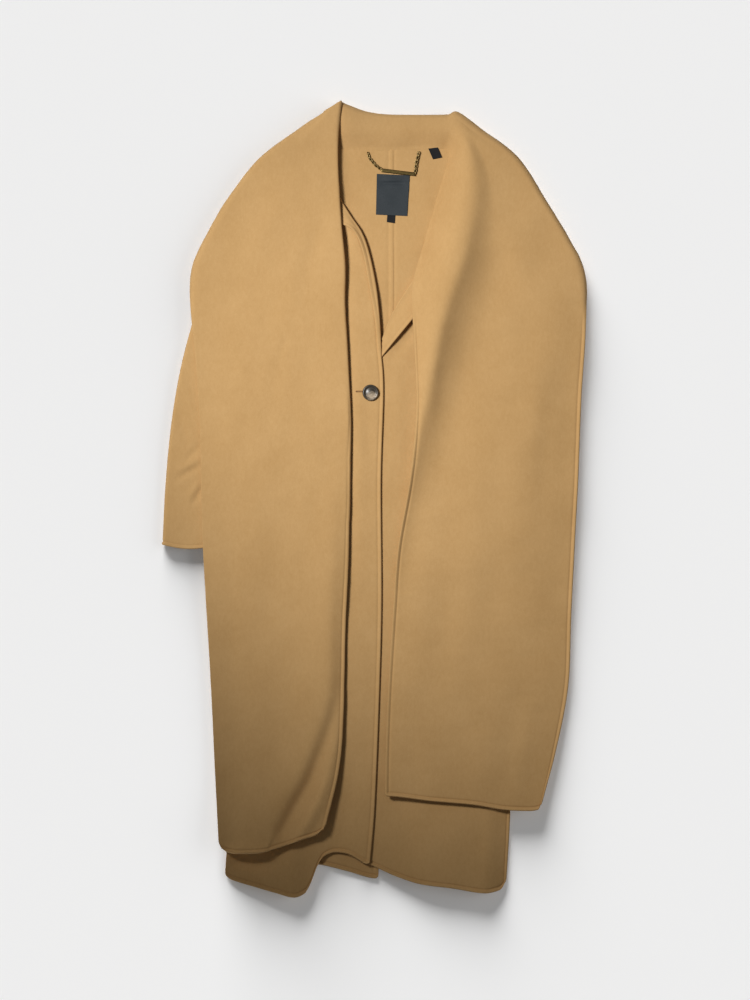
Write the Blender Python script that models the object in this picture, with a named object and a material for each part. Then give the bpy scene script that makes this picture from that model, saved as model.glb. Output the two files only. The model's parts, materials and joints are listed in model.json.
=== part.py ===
"""A long wool coat with a sewn-on scarf collar, laid on its back. Millimetres in the tables, metres in the scene.

+X is to the right as laid out, +Y runs up the coat to the collar, +Z is up from the surface it lies on.
"""
from collections import namedtuple

import bmesh
import bpy
import numpy as np

# Driving sizes in millimetres
CLOTH = 2.2
GAP = 0.3
LABEL = 0.8
BACK_LOW = CLOTH / 2
BACK_HIGH = CLOTH + GAP + CLOTH / 2
CENTRE_TOP_X = 28.0
CENTRE_HEM_X = 4.0
ARMHOLE_HALF = 4.5
BUTTON_RADIUS = 13.0
BUTTON_HEIGHT = 4.5
CHAIN_RADIUS = 1.2
BAR_HEIGHT = 2.2
HINGE_Y = 556.2
UP = np.array([0.0, 0.0, 1.0])
CENTRE = np.array([0.52, -1.39, 0.0])

# One row for each section down a front, side seam to front edge, with heights at five stations across
Front = namedtuple("Front", "side_x side_y edge_x edge_y side near mid inner edge")
FRONT_STATIONS = (0.0, 0.15, 0.42, 0.73, 1.0)
FRONT_LEFT = [
    Front(-207, 477, -61, 547, 6.3, 6.3, 6.3, 6.3, 6.3),
    Front(-209, 424, -58, 493, 11.6, 11.4, 10, 9.5, 9.5),
    Front(-212, 350, -21, 426, 11.6, 11.4, 10, 10, 10.5),
    Front(-216, 261, 1, 341, 3.9, 9, 10, 10.5, 11),
    Front(-209, 195, 11, 240, 3.8, 8.5, 10, 10.5, 11),
    Front(-205, 125, 15, 173, 3.8, 8.5, 10, 10.5, 10.8),
    Front(-202, 20, 11, 32, 3.8, 8.5, 10, 10.5, 10.5),
    Front(-206, -140, 12, -160, 3.8, 8.5, 10, 10.5, 10.5),
    Front(-217, -300, 8, -320, 3.8, 8.5, 10, 10, 10.5),
    Front(-231, -470, 1, -490, 3.8, 11, 12.5, 9.8, 11.5),
    Front(-240, -596, -7, -584, 3.8, 9, 15, 9.5, 14),
]
FRONT_RIGHT = [
    Front(259, 470, 140, 547, 6.3, 6.3, 6.3, 6.3, 6.3),
    Front(255, 420, 115, 456, 11.6, 11, 8.5, 8, 8),
    Front(249, 350, 80, 381, 11.6, 10.5, 8, 7.5, 7.5),
    Front(240, 259, 40, 315, 3.9, 5.5, 7.5, 7.5, 7.5),
    Front(233, 190, 9, 248, 3.8, 5.5, 7.5, 7, 7.2),
    Front(228, 120, -36, 168, 3.8, 5.5, 7.5, 6.5, 6),
    Front(223, 30, -50, 48, 3.8, 5.5, 7.5, 6, 5.5),
    Front(220, -130, -52, -160, 3.8, 6, 7.5, 6, 5.5),
    Front(219, -310, -50, -320, 3.8, 7, 7.5, 6, 5.5),
    Front(219, -480, -47, -480, 3.8, 9.5, 10.5, 7, 5.5),
    Front(212, -614, -44, -571, 4, 17, 17, 9, 5.5),
]

# The hem lines of the fronts and the two scarf ends, across from one corner to the other
Point = namedtuple("Point", "x y")
HEM_FRONT_LEFT = [
    Point(-240, -596), Point(-228, -610), Point(-189, -621), Point(-157, -630), Point(-128, -637), Point(-112, -631),
    Point(-101, -612), Point(-92, -588), Point(-80, -571), Point(-62, -565), Point(-44, -567), Point(-7, -584),
]
HEM_FRONT_RIGHT = [
    Point(-44, -571), Point(-5, -586), Point(36, -604), Point(76, -616), Point(124, -622), Point(180, -630),
    Point(201, -626), Point(212, -614),
]
HEM_SCARF_LEFT = [
    Point(-248, -549), Point(-241, -559), Point(-220, -564), Point(-186, -563), Point(-153, -554), Point(-124, -541),
    Point(-81, -520),
]
HEM_SCARF_RIGHT = [
    Point(17, -474), Point(92, -482), Point(158, -488), Point(217, -497), Point(252, -497), Point(267, -487),
]

# One row for each section down a back panel, side seam to centre back
Back = namedtuple("Back", "side_x side_y centre_x centre_y")
BACK_LEFT = [
    Back(-207, 477, CENTRE_TOP_X, 562), Back(-211, 380, CENTRE_TOP_X, 430), Back(-216, 261, CENTRE_TOP_X, 300),
    Back(-204, 110, 24, 110), Back(-203, -60, 18, -60), Back(-212, -250, 12, -250), Back(-226, -420, 8, -430),
    Back(-234, -579, CENTRE_HEM_X, -608),
]
BACK_RIGHT = [
    Back(259, 470, CENTRE_TOP_X, 562), Back(251, 370, CENTRE_TOP_X, 430), Back(240, 259, CENTRE_TOP_X, 300),
    Back(227, 110, 24, 110), Back(221, -60, 18, -60), Back(219, -250, 12, -250), Back(218, -420, 8, -430),
    Back(209, -603, 6, -583),
]

# One row for each section of a lapel, from its roll line to its free edge
Lapel = namedtuple("Lapel", "roll_x roll_y edge_x edge_y roll mid edge")
LAPEL_LEFT = [
    Lapel(-58, 486, -57, 452, 13.2, 13.4, 13.4), Lapel(-40, 456, -39, 440, 13.4, 13.8, 13.8),
    Lapel(-21, 426, -29, 420, 13.6, 13.8, 13.8), Lapel(-9, 390, -18, 390, 13.7, 13.8, 13.8),
    Lapel(1, 341, -8, 341, 13.8, 13.8, 13.8), Lapel(10, 253, 3, 253, 13.8, 13.8, 13.8),
]
LAPEL_RIGHT = [
    Lapel(13, 256, 13, 231, 10.4, 11, 10.8), Lapel(25, 288, 32, 258, 10.4, 11.2, 10.8),
    Lapel(41, 317, 57, 286, 10.4, 11, 10.6), Lapel(66, 355, 84, 322, 10.4, 10.6, 10.4),
]

# One row for each ring down a sleeve: its two creased sides, and the height and half height of the flattened tube
Ring = namedtuple("Ring", "out_x out_y in_x in_y out_z in_z half")
SLEEVE_LEFT = [
    Ring(-210, 474, -219, 262, 8.2, 8.2, ARMHOLE_HALF), Ring(-244, 416, -221, 226, 8.4, 8, 4.5),
    Ring(-272, 344, -221, 190, 8.4, 7.5, 4.5), Ring(-292, 280, -218, 150, 7, 7, 4.5),
    Ring(-311, 205, -215, 105, 6.5, 6.5, 4.5), Ring(-325, 120, -213, 45, 6.2, 6.2, 4.5),
    Ring(-334, 25, -214, -20, 6, 6, 4.5), Ring(-339, -72, -215, -82, 6, 6, 4.5),
]
SLEEVE_RIGHT = [
    Ring(262, 467, 244, 258, 8.2, 8.2, ARMHOLE_HALF), Ring(284, 404, 245, 218, 8.2, 11, 4),
    Ring(300, 330, 233, 180, 8, 13.4, 3.6), Ring(307, 250, 216, 138, 7.5, 13.4, 3.5),
    Ring(310, 160, 203, 80, 7, 13.4, 3.5), Ring(309, 70, 192, 15, 6.5, 13.4, 3.5), Ring(300, -92, 182, -98, 6.5, 13.4, 3.5),
]

# One row for each section down the left scarf, from its outer to its inner edge: heights, then how far each edge
# curls under in degrees and on what radius
Fall = namedtuple("Fall", "out_x out_y in_x in_y out third two_thirds crest out_curl out_r in_curl in_r")
SCARF_LEFT = [
    Fall(-72, 627, -49, 633, 29, 30, 31, 32, 120, 5, 120, 5),
    Fall(-114, 598, -56, 600, 26, 28, 28.5, 29, 170, 11, 150, 5),
    Fall(-186, 544, -58, 560, 24, 23.5, 22.5, 23, 178, 11.4, 150, 3.2),
    Fall(-228, 493, -57, 512, 23, 22.5, 22, 22.4, 178, 10.9, 150, 3),
    Fall(-264, 432, -53, 448, 22, 22, 21.5, 22.2, 176, 10.4, 150, 3),
    Fall(-291, 374, -47, 376, 20.5, 21, 20.5, 21.6, 160, 9.6, 150, 3),
    Fall(-294, 312, -47, 312, 18.5, 20.5, 19.5, 21, 60, 9, 150, 3),
    Fall(-286, 224, -42, 224, 17.2, 20, 18.5, 20.5, 12, 9, 150, 3),
    Fall(-279, 104, -39, 104, 17.2, 20, 18, 20, 10, 9, 140, 3),
    Fall(-276, -46, -42, -46, 17, 19.5, 17.5, 19, 10, 9, 80, 4),
    Fall(-268, -192, -46, -192, 13, 16, 16.5, 18, 10, 9, 30, 6),
    Fall(-260, -336, -50, -336, 10, 15, 16.5, 17.5, 10, 9, 20, 6),
    Fall(-255, -440, -56, -425, 12, 19, 19.5, 19, 10, 9, 20, 6),
    Fall(-248, -549, -81, -520, 26, 35, 27, 27, 10, 9, 20, 6),
]

# One row for each section along the rest of the scarf, neck seam or inner edge to crest to outer edge
Run = namedtuple("Run", "in_x in_y crest_x crest_y out_x out_y inner crest third two_thirds out curl radius")
SCARF_REST = [
    Run(-46, 562, -46, 612, -46, 633, 6.2, 29, 29, 28, 27, 170, 11.5),
    Run(-12, 562, -12, 602, -12, 623, 6.2, 26, 26, 25, 24, 175, 11),
    Run(28, 562, 28, 596, 28, 617, 6.2, 24, 24, 23, 22, 178, 10.4),
    Run(76, 563, 78, 597, 80, 617, 6.2, 24, 24, 23, 22, 178, 10.4),
    Run(116, 567, 126, 598, 134, 618, 6.4, 28, 28, 26, 24, 178, 11.4),
    Run(122, 553, 146, 578, 176, 590, 6.6, 30, 29, 27, 24, 178, 11.4),
    Run(112, 522, 155, 540, 232, 546, 6.8, 31, 25, 24, 23, 178, 10.9),
    Run(97, 475, 153, 488, 274, 482, 7, 30, 23, 22.5, 22, 178, 10.4),
    Run(80, 414, 138, 424, 310, 423, 8.5, 28, 22, 22, 21, 176, 10),
    Run(61, 342, 118, 350, 337, 363, 14.6, 26, 21, 21.5, 19.5, 130, 9),
    Run(63, 264, 98, 264, 339, 280, 15, 22.5, 21, 21, 17, 30, 9),
    Run(68, 150, 96, 150, 332, 165, 13.5, 19, 21.5, 21, 14, 12, 9),
    Run(58, 36, 98, 36, 327, 40, 13, 18, 22, 21, 14, 10, 9),
    Run(38, -76, 96, -76, 321, -80, 12.5, 17.5, 22, 20, 13, 10, 9),
    Run(30, -176, 90, -176, 316, -180, 12.5, 16, 18.5, 16.5, 11, 10, 9),
    Run(22, -300, 82, -300, 311, -300, 12.5, 15, 16, 14.5, 10, 10, 9),
    Run(18, -400, 78, -400, 291, -402, 15, 16.5, 16.5, 15.5, 12, 10, 9),
    Run(17, -474, 74, -478, 267, -487, 19, 21, 21, 20, 17, 10, 9),
]
STAND_SHARE = 4.0 / 17.0

# The upper edge of the stretch of scarf that lies under the back, and the lower edge below it
Under = namedtuple("Under", "top_x top_y low_x low_y")
SCARF_BACK = [
    Under(-270, 389, -252, 372), Under(-236, 443, -206, 376), Under(-196, 501, -150, 396), Under(-150, 545, -100, 408),
    Under(-95, 582, -55, 414), Under(-46, 606, -10, 416), Under(28, 592, 28, 416), Under(100, 592, 72, 414),
    Under(163, 571, 112, 408), Under(222, 526, 160, 396), Under(266, 464, 220, 376), Under(296, 404, 268, 366),
]


def smooth_rows(rows, count):
    """Read a smooth curve through the rows of a table at evenly spaced places."""
    rows = np.array(rows, float)
    place = np.linspace(0, len(rows) - 1, count)
    start = np.minimum(place.astype(int), len(rows) - 2)
    part = (place - start)[:, None]
    ends = np.vstack([2 * rows[0] - rows[1], rows, 2 * rows[-1] - rows[-2]])
    a, b, c, d = ends[start], ends[start + 1], ends[start + 2], ends[start + 3]
    curve = 2 * b + (c - a) * part + (2 * a - 5 * b + 4 * c - d) * part**2 + (3 * b - a - 3 * c + d) * part**3
    return curve / 2


def across(stations, values, places):
    """Read a curve without overshoot through the values at the stations, level at both ends."""
    stations = np.array(stations, float)
    values = np.atleast_2d(np.array(values, float))
    step = np.diff(stations)
    slope = np.diff(values, axis=1) / step
    before, after = slope[:, :-1], slope[:, 1:]
    same = before * after > 0
    middle = np.where(same, 2 * before * after / np.where(same, before + after, 1), 0)
    level = np.zeros((len(values), 1))
    tangent = np.hstack([level, middle, level])
    k = np.clip(np.searchsorted(stations, places, side="right") - 1, 0, len(step) - 1)
    t = (places - stations[k]) / step[k]
    rise = 3 * t**2 - 2 * t**3
    lead = (t - 2 * t**2 + t**3) * step[k]
    trail = (t**3 - t**2) * step[k]
    return values[:, k] * (1 - rise) + values[:, k + 1] * rise + tangent[:, k] * lead + tangent[:, k + 1] * trail


def to_hem(grid, hem, share):
    """Pull the last rows of a panel's grid to its hem line, fading out up the panel."""
    hem = sorted(hem)
    x = np.array([p.x for p in hem])
    y = np.array([p.y for p in hem])
    drop = across(x, y, np.clip(grid[-1, :, 0], x[0], x[-1]))[0] - grid[-1, :, 1]
    place = np.linspace(0, 1, len(grid))
    weight = np.clip((place - 1 + share) / share, 0, 1) ** 2
    grid[:, :, 1] += weight[:, None] * drop
    return grid


def flat_panel(rows, count, columns, heights, stations):
    """The grid of a panel from its two long edges, with heights at the stations across it."""
    table = smooth_rows(rows, count)
    u = np.linspace(0, 1, columns)[None, :, None]
    plan = table[:, None, 0:2] * (1 - u) + table[:, None, 2:4] * u
    z = across(stations, table[:, 4:] if heights is None else [heights] * count, u.ravel())
    return np.dstack([plan, z])


def facing(grid, ring=False):
    """The directions in which a grid's wall has its thickness."""
    if ring:
        run = np.roll(grid, -1, axis=1) - np.roll(grid, 1, axis=1)
    else:
        run = np.gradient(grid, axis=1)
    normal = np.cross(run, np.gradient(grid, axis=0))
    return normal / np.linalg.norm(normal, axis=2)[:, :, None]


def cloth(name, grid, thickness, colour, ring=False, normal=None):
    """Give a grid of points a wall and make it one closed body; a ring's columns meet round a tube."""
    rows, columns = grid.shape[:2]
    if normal is None:
        normal = facing(grid, ring)
    points = np.concatenate([grid + normal * thickness / 2, grid - normal * thickness / 2])
    side = rows * columns
    number = np.arange(side).reshape(rows, columns)
    if ring:
        number = np.hstack([number, number[:, :1]])
    a, b, c, d = number[:-1, :-1], number[:-1, 1:], number[1:, 1:], number[1:, :-1]
    faces = [tuple(f) for f in np.stack([a, b, c, d], -1).reshape(-1, 4).tolist()]
    faces += [tuple(v + side for v in reversed(f)) for f in faces]
    rims = [number[0], number[-1]]
    if not ring:
        rims += [number[:, 0], number[:, -1]]
    for rim in rims:
        for i, j in zip(rim[:-1].tolist(), rim[1:].tolist()):
            faces.append((i, j, j + side, i + side))
    return solid(name, points.reshape(-1, 3), faces, colour)


def solid(name, points, faces, colour):
    """A named object with its own material from points in millimetres."""
    mesh = bpy.data.meshes.new(name)
    mesh.from_pydata(((np.array(points) - CENTRE) * 0.001).tolist(), [], faces)
    body = bmesh.new()
    body.from_mesh(mesh)
    bmesh.ops.triangulate(body, faces=body.faces)
    bmesh.ops.recalc_face_normals(body, faces=body.faces)
    body.to_mesh(mesh)
    body.free()
    material = bpy.data.materials.new(name)
    material.use_nodes = True
    material.node_tree.nodes["Principled BSDF"].inputs["Base Color"].default_value = (*colour, 1)
    mesh.materials.append(material)
    item = bpy.data.objects.new(name, mesh)
    bpy.context.scene.collection.objects.link(item)
    return item


def curled(plan, z, out_curl, out_r, in_curl, in_r, steps):
    """Add to a section its two curled edges: arcs that leave it level and turn under."""
    toward = plan[-1] - plan[-2]
    toward /= np.linalg.norm(toward)
    away = plan[0] - plan[1]
    away /= np.linalg.norm(away)
    points = [np.append(p, h) for p, h in zip(plan, z)]
    for angle in np.radians(np.linspace(0, out_curl, steps + 1)[1:]):
        points.insert(0, np.append(plan[0] + away * out_r * np.sin(angle), z[0] - out_r * (1 - np.cos(angle))))
    for angle in np.radians(np.linspace(0, in_curl, steps + 1)[1:]) if in_r > 0 else ():
        points.append(np.append(plan[-1] + toward * in_r * np.sin(angle), z[-1] - in_r * (1 - np.cos(angle))))
    return points


def reach(curl, radius):
    """How far a curled edge stands out past the place where its arc starts."""
    return radius * np.sin(np.radians(np.minimum(curl, 90)))


def left_fall(count, columns, steps):
    """The grid of the left scarf, with its rolled inner edge and the shoulder fold."""
    sections = []
    for row in smooth_rows(SCARF_LEFT, count):
        r = Fall(*row)
        outer, inner = np.array([r.out_x, r.out_y]), np.array([r.in_x, r.in_y])
        line = (inner - outer) / np.linalg.norm(inner - outer)
        start, end = outer + line * reach(r.out_curl, r.out_r), inner - line * reach(r.in_curl, r.in_r)
        u = np.linspace(0, 1, columns)
        plan = start + (end - start) * u[:, None]
        z = across((0, 0.36, 0.74, 1), [(r.out, r.third, r.two_thirds, r.crest)], u)[0]
        sections.append(curled(plan, z, r.out_curl, r.out_r, r.in_curl, r.in_r, steps))
    return np.array(sections)


def rest_of_scarf(count, columns, steps):
    """The grid of the scarf from the left end of the stand round the neck and down the right front."""
    sections = []
    for row in smooth_rows(SCARF_REST, count):
        r = Run(*row)
        inner, crest, outer = np.array([r.in_x, r.in_y]), np.array([r.crest_x, r.crest_y]), np.array([r.out_x, r.out_y])
        line = (outer - crest) / np.linalg.norm(outer - crest)
        end = outer - line * reach(r.curl, r.radius)
        knots = np.array([inner, crest, crest + (end - crest) / 3, crest + (end - crest) * 2 / 3, end])
        u = np.linspace(0, 1, columns)
        stations = (0, 0.26, 0.5, 0.75, 1)
        plan = np.array([np.interp(u, stations, knots[:, k]) for k in (0, 1)]).T
        z = across(stations, [(r.inner, r.crest, r.third, r.two_thirds, r.out)], u)[0]
        sections.append(curled(plan[::-1], z[::-1], r.curl, r.radius, 0, 0, steps))
    return np.array(sections)


def tube(rings, count, ends, sides):
    """The closed rings of a flattened sleeve: two level walls and two half-round sides."""
    sections = []
    for row in smooth_rows(rings, count):
        r = Ring(*row)
        outer, inner = np.array([r.out_x, r.out_y]), np.array([r.in_x, r.in_y])
        line = (inner - outer) / np.linalg.norm(inner - outer)
        start, end = outer + line * r.half, inner - line * r.half
        points = []
        for u in np.linspace(0, 1, sides):
            points.append(np.append(start + (end - start) * u, r.out_z + (r.in_z - r.out_z) * u + r.half))
        for angle in np.radians(np.linspace(90, -90, ends + 2)[1:-1]):
            points.append(np.append(end + line * r.half * np.cos(angle), r.in_z + r.half * np.sin(angle)))
        for u in np.linspace(1, 0, sides):
            points.append(np.append(start + (end - start) * u, r.out_z + (r.in_z - r.out_z) * u - r.half))
        for angle in np.radians(np.linspace(-90, 90, ends + 2)[1:-1]):
            points.append(np.append(start - line * r.half * np.cos(angle), r.out_z + r.half * np.sin(angle)))
        sections.append(points)
    return np.array(sections)


def rod(name, path, radius, sides, colour):
    """A round rod along a path of points."""
    path = np.array(path, float)
    run = np.gradient(path, axis=0)
    run /= np.linalg.norm(run, axis=1)[:, None]
    wide = np.cross(run, UP)
    wide /= np.linalg.norm(wide, axis=1)[:, None]
    high = np.cross(wide, run)
    points, faces = [], []
    for p, w, h in zip(path, wide, high):
        for angle in np.linspace(0, 2 * np.pi, sides, endpoint=False):
            points.append(p + radius * (w * np.cos(angle) + h * np.sin(angle)))
    for i in range(len(path) - 1):
        for j in range(sides):
            k = (j + 1) % sides
            faces.append((i * sides + j, i * sides + k, (i + 1) * sides + k, (i + 1) * sides + j))
    faces.append(tuple(range(sides)))
    faces.append(tuple(range((len(path) - 1) * sides, len(path) * sides)))
    return solid(name, points, faces, colour)


def plate(name, corners, low, high, colour):
    """A flat piece between two heights."""
    count = len(corners)
    points = [(x, y, low) for x, y in corners] + [(x, y, high) for x, y in corners]
    faces = [tuple(range(count)), tuple(range(count, 2 * count))]
    faces += [(i, (i + 1) % count, (i + 1) % count + count, i + count) for i in range(count)]
    return solid(name, points, faces, colour)


# A clear scene
for item in list(bpy.data.objects):
    bpy.data.objects.remove(item, do_unlink=True)

CAMEL = (0.52, 0.30, 0.13)
SLATE = (0.02, 0.03, 0.05)
BRASS = (0.32, 0.24, 0.13)
HORN = (0.09, 0.07, 0.06)

# The stretch of scarf that lies under the back, flat on the surface
cloth("scarf_back", flat_panel(SCARF_BACK, 18, 5, (BACK_LOW, BACK_LOW), (0, 1)), CLOTH, CAMEL)

# The back panels, raised over the scarf by one wall, with the shoulders shaped up to the neck
for name, rows, inset in (("back_left", BACK_LEFT, -GAP / 2), ("back_right", BACK_RIGHT, GAP / 2)):
    panel = flat_panel(rows, 22, 7, (0.0, 0.0), (0, 1))
    panel[:, :, 0] += np.linspace(0, inset, 7)
    shoulder = np.linspace(1, 0, 22).clip(0.72, 1) - 0.72
    panel[:, :, 1] += 90 * shoulder[:, None] * np.sin(np.linspace(0, np.pi, 7)) ** 1.5
    rise = np.clip((panel[:, :, 1] - 300) / 60, 0, 1)
    panel[:, :, 2] = BACK_LOW + (BACK_HIGH - BACK_LOW) * (3 * rise**2 - 2 * rise**3)
    cloth(name, panel, CLOTH, CAMEL)

# The fronts and their turned-back neck edges
for name, rows, hem in (("front_right", FRONT_RIGHT, HEM_FRONT_RIGHT), ("front_left", FRONT_LEFT, HEM_FRONT_LEFT)):
    panel = to_hem(flat_panel(rows, 23, 14, None, FRONT_STATIONS), hem, 0.22)
    cloth(name, panel, CLOTH, CAMEL)
for name, rows in (("lapel_right", LAPEL_RIGHT), ("lapel_left", LAPEL_LEFT)):
    cloth(name, flat_panel(rows, 9, 4, None, (0, 0.5, 1)), CLOTH, CAMEL)

# The sleeves
for name, rings in (("sleeve_left", SLEEVE_LEFT), ("sleeve_right", SLEEVE_RIGHT)):
    cloth(name, tube(rings, 15, 3, 5), CLOTH, CAMEL, ring=True)

# The scarf's falls and its stand at the neck
cloth("scarf_left", to_hem(left_fall(26, 10, 4), HEM_SCARF_LEFT, 0.2), CLOTH, CAMEL)
REST_ROWS = 35
rest = to_hem(rest_of_scarf(REST_ROWS, 12, 4), HEM_SCARF_RIGHT, 0.2)
cut = round((REST_ROWS - 1) * STAND_SHARE)
turn = facing(rest)
stand = rest[: cut + 1].copy()
stand[-1] += (stand[-2] - stand[-1]) / np.linalg.norm(stand[-2] - stand[-1], axis=1)[:, None] * 2 * GAP
cloth("scarf_stand", stand, CLOTH, CAMEL, normal=turn[: cut + 1])
cloth("scarf_right", rest[cut:], CLOTH, CAMEL, normal=turn[cut:])

# The labels, flat on the inside of the back
BACK_TOP = BACK_HIGH + CLOTH / 2 + GAP
plate("label_main", [(4, 517), (57, 516), (54, 456), (3, 458)], BACK_TOP, BACK_TOP + LABEL, SLATE)
plate("label_size", [(21, 456.4), (34, 456), (33, 444), (20, 446)], BACK_TOP, BACK_TOP + LABEL, SLATE)
plate("label_care", [(86, 559), (102, 560), (108, 543), (94, 539)], BACK_TOP, BACK_TOP + LABEL, SLATE)

# The hanger loop: two short chains and the bar between them, on an empty at the line it swings about
LOOP_Z = BACK_TOP + CHAIN_RADIUS
hinge = bpy.data.objects.new("loop_hinge", None)
hinge.location = (np.array([31.0, HINGE_Y, LOOP_Z]) - CENTRE) * 0.001
bpy.context.scene.collection.objects.link(hinge)
left_path = [(-10, 556, LOOP_Z), (-7, 547, LOOP_Z), (0, 538, LOOP_Z), (8, 531, LOOP_Z)]
right_path = [(66, 525.6, LOOP_Z), (68, 541, LOOP_Z), (72, 556, LOOP_Z)]
bar_corners = [(9, 532), (66, 524), (66, 518.8), (9, 526.5)]
pieces = [
    rod("loop_chain_left", left_path, CHAIN_RADIUS, 8, BRASS),
    plate("loop_bar", bar_corners, BACK_TOP, BACK_TOP + BAR_HEIGHT, BRASS),
    rod("loop_chain_right", right_path, CHAIN_RADIUS, 8, BRASS),
]
for piece in pieces:
    piece.parent = hinge
    piece.matrix_parent_inverse.translation = -hinge.location

# The button, on the left front
around = np.linspace(0, 2 * np.pi, 32, endpoint=False)
BUTTON_Z = 12.4
plate("button", [(-6 + BUTTON_RADIUS * np.cos(a), 171 + BUTTON_RADIUS * np.sin(a)) for a in around],
      BUTTON_Z, BUTTON_Z + BUTTON_HEIGHT, HORN)
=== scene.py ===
"""The look of a long camel wool coat with a sewn-on scarf, laid on its back and seen from straight above."""
import json
from collections import namedtuple

import bpy
import numpy as np
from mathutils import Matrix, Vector

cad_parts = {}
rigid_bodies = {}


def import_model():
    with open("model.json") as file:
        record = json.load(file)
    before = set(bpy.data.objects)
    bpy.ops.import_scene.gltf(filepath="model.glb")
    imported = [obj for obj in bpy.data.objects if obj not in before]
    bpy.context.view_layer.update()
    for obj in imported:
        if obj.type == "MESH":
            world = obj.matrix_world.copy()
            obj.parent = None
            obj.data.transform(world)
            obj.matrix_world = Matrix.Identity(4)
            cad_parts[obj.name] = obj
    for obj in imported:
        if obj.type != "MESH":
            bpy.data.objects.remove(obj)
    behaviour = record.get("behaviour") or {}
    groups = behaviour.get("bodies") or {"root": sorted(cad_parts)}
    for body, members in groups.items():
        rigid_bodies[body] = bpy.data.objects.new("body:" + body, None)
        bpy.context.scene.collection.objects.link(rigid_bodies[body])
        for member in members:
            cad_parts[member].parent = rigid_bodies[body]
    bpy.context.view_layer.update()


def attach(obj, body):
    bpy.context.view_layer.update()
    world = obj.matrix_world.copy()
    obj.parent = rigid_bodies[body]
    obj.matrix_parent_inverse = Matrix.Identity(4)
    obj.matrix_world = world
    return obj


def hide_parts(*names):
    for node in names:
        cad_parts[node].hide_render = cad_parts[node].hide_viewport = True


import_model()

# The stretch of scarf behind the neck: double-faced wool that falls behind the stand and lies flat on the
# surface, under the back panels. The whole coat is cut from the same wool. Sizes are in millimetres, with Y
# up the coat, and CENTRE is the place that becomes the frame's origin.
MILLIMETRE = 0.001
CLOTH = 2.2
CENTRE = np.array([0.52, -1.39, 0.0])
CAMEL_LIGHT = (0.59, 0.37, 0.162, 1)
CAMEL_DARK = (0.515, 0.31, 0.126, 1)
SHEEN_TINT = (1.0, 0.86, 0.62, 1)
Grain = namedtuple("Grain", "scale detail weight")
MOTTLE = Grain(16.0, 3.0, 1.1)
FELT = Grain(210.0, 2.0, 0.8)
NAP = Grain(620.0, 2.0, 0.9)
FLECK = Grain(1500.0, 1.0, 0.6)
NAP_STRETCH = (1.0, 0.5, 1.0)
NAP_FUZZ = 0.7


class Flow:
    """A shader value: arithmetic on it makes maths nodes, and node() makes any other kind."""

    def __init__(self, tree, socket):
        self.tree = tree
        self.socket = socket

    def node(self, kind, inputs, settings=None, output=0):
        made = self.tree.nodes.new(kind)
        for name, value in (settings or {}).items():
            setattr(made, name, value)
        for name, value in inputs.items():
            if isinstance(value, Flow):
                self.tree.links.new(value.socket, made.inputs[name])
            else:
                made.inputs[name].default_value = value
        return Flow(self.tree, made.outputs[output])

    def maths(self, operation, first, second):
        return self.node("ShaderNodeMath", {0: first, 1: second}, {"operation": operation})

    def __add__(self, other):
        return self.maths("ADD", self, other)

    __radd__ = __add__

    def __sub__(self, other):
        return self.maths("SUBTRACT", self, other)

    def __rsub__(self, other):
        return self.maths("SUBTRACT", other, self)

    def __mul__(self, other):
        return self.maths("MULTIPLY", self, other)

    __rmul__ = __mul__

    def __truediv__(self, other):
        return self.maths("DIVIDE", self, other)

    def __rtruediv__(self, other):
        return self.maths("DIVIDE", other, self)


def surface(name, constants):
    """A new material, its Principled node with the constants set, and the place on the object."""
    made = bpy.data.materials.new(name)
    made.use_nodes = True
    tree = made.node_tree
    shader = tree.nodes["Principled BSDF"]
    for socket, value in constants.items():
        shader.inputs[socket].default_value = value
    place = Flow(tree, tree.nodes.new("ShaderNodeTexCoord").outputs["Object"])
    return made, shader, place


def feed(shader, socket, value):
    value.tree.links.new(value.socket, shader.inputs[socket])


def mixed(factor, low, high):
    inputs = {0: factor, 6: low, 7: high}
    return factor.node("ShaderNodeMix", inputs, {"data_type": "RGBA"}, output=2)


def roughen(shader, height, strength, distance):
    """Bump a shader's surface by a height."""
    bump = height.node("ShaderNodeBump", {"Height": height, "Strength": strength, "Distance": distance})
    feed(shader, "Normal", bump)


def grained(place, grain):
    """Noise over a place, at the scale and detail of one grain of the surface."""
    return place.node("ShaderNodeTexNoise", {"Vector": place, "Scale": grain.scale, "Detail": grain.detail})


wool, shader, place = surface("wool", {
    "Roughness": 0.95, "Specular IOR Level": 0.1, "Sheen Weight": 0.16, "Sheen Roughness": 0.5,
    "Sheen Tint": SHEEN_TINT,
})
along = place.node("ShaderNodeMapping", {"Vector": place, "Scale": NAP_STRETCH})
mottle = grained(place, MOTTLE)
felt = grained(along, FELT)
nap = grained(along, NAP)
fleck = grained(place, FLECK)
coarse = (mottle - 0.5) * MOTTLE.weight + (felt - 0.5) * FELT.weight
fine = (nap - 0.5) * NAP.weight + (fleck - 0.5) * FLECK.weight
feed(shader, "Base Color", mixed(coarse + fine + 0.5, CAMEL_DARK, CAMEL_LIGHT))
fuzz = nap * NAP_FUZZ + fleck * (1 - NAP_FUZZ)
roughen(shader, fuzz, strength=0.25, distance=0.0006)


def smooth_rows(rows, number):
    """Read a smooth curve through the rows of a table at the given row numbers."""
    rows = np.array(rows, float)
    start = np.minimum(number.astype(int), len(rows) - 2)
    part = (number - start)[:, None]
    ends = np.vstack([2 * rows[0] - rows[1], rows, 2 * rows[-1] - rows[-2]])
    a, b, c, d = ends[start], ends[start + 1], ends[start + 2], ends[start + 3]
    square = 2 * a - 5 * b + 4 * c - d
    cube = 3 * b - a - 3 * c + d
    return (2 * b + (c - a) * part + square * part**2 + cube * part**3) / 2


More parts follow.
